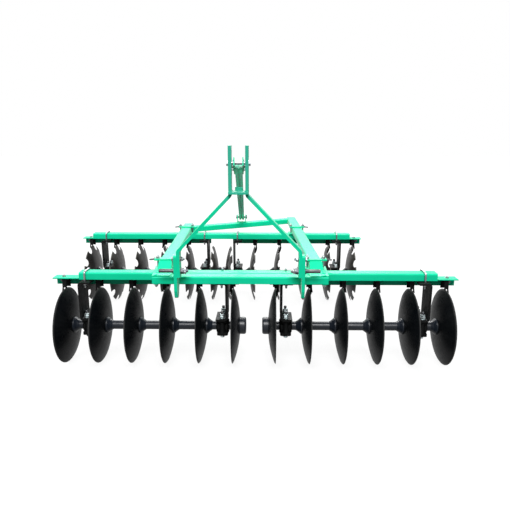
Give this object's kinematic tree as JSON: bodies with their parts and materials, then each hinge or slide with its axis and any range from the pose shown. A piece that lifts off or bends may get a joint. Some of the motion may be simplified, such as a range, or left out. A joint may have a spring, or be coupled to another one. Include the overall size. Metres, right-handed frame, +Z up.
{
  "type": "disc harrow",
  "caption": "Three-point mounted tandem disc harrow: plain discs in front, notched discs behind, gangs spinning in bearings under a bolted channel frame.",
  "frame": {"origin": "on the ground, under the middle of the machine's bounding box", "axes": "+X across the machine, to the right when seen from the tractor; +Y to the rear, away from the tractor; +Z up"},
  "size_m": [2.671, 1.9863, 1.311],
  "materials": {
    "green_paint": "glossy enamel over formed and welded steel",
    "black_paint": "satin black paint on steel plate",
    "disc_steel": "semi-gloss black paint on rolled disc steel",
    "cast_black": "black paint over rough casting",
    "zinc_steel": "bright zinc plate",
    "stay_steel": "thin green paint over bare flat bar"
  },
  "bodies": {
    "frame": {"front_carrier": "green_paint", "rear_carrier": "green_paint", "hitch_beam": "green_paint", "seat_plates": "green_paint", "side_beam_left": "green_paint", "side_beam_right": "green_paint", "tie_bar": "green_paint", "clamp_plates": "green_paint", "u_bolts": "zinc_steel", "gang_beam_front_left": "green_paint", "gang_beam_front_right": "green_paint", "gang_beam_rear_left": "green_paint", "gang_beam_rear_right": "green_paint", "front_hangers": "black_paint", "rear_hangers": "black_paint", "front_bearings": "black_paint", "rear_bearings": "black_paint", "front_scrapers": "black_paint", "rear_scrapers": "black_paint", "mast_leg_left": "green_paint", "mast_leg_right": "green_paint", "mast_brace_plate": "green_paint", "hitch_plate_left": "green_paint", "hitch_plate_right": "green_paint", "hitch_pins": "zinc_steel", "stay_upper_pin": "zinc_steel", "stay_bars": "stay_steel", "stay_clevis": "green_paint", "stay_bracket": "green_paint", "stay_lower_pin": "zinc_steel"},
    "gang_front_left": {"discs_front_left": "disc_steel", "spools_front_left": "cast_black", "axle_front_left": "cast_black"},
    "gang_front_right": {"discs_front_right": "disc_steel", "spools_front_right": "cast_black", "axle_front_right": "cast_black"},
    "gang_rear_left": {"discs_rear_left": "disc_steel", "spools_rear_left": "cast_black", "axle_rear_left": "cast_black"},
    "gang_rear_right": {"discs_rear_right": "disc_steel", "spools_rear_right": "cast_black", "axle_rear_right": "cast_black"}
  },
  "joints": [
    {"name": "front_left_spin", "type": "hinge", "parent": "frame", "child": "gang_front_left", "pos_m": [-0.474, -0.76, 0.23], "axis": [1, 0, 0], "continuous": true},
    {"name": "front_right_spin", "type": "hinge", "parent": "frame", "child": "gang_front_right", "pos_m": [0.726, -0.76, 0.23], "axis": [1, 0, 0], "continuous": true},
    {"name": "rear_left_spin", "type": "hinge", "parent": "frame", "child": "gang_rear_left", "pos_m": [-0.771, 0.45, 0.23], "axis": [1, 0, 0], "continuous": true},
    {"name": "rear_right_spin", "type": "hinge", "parent": "frame", "child": "gang_rear_right", "pos_m": [0.429, 0.45, 0.23], "axis": [1, 0, 0], "continuous": true}
  ]
}
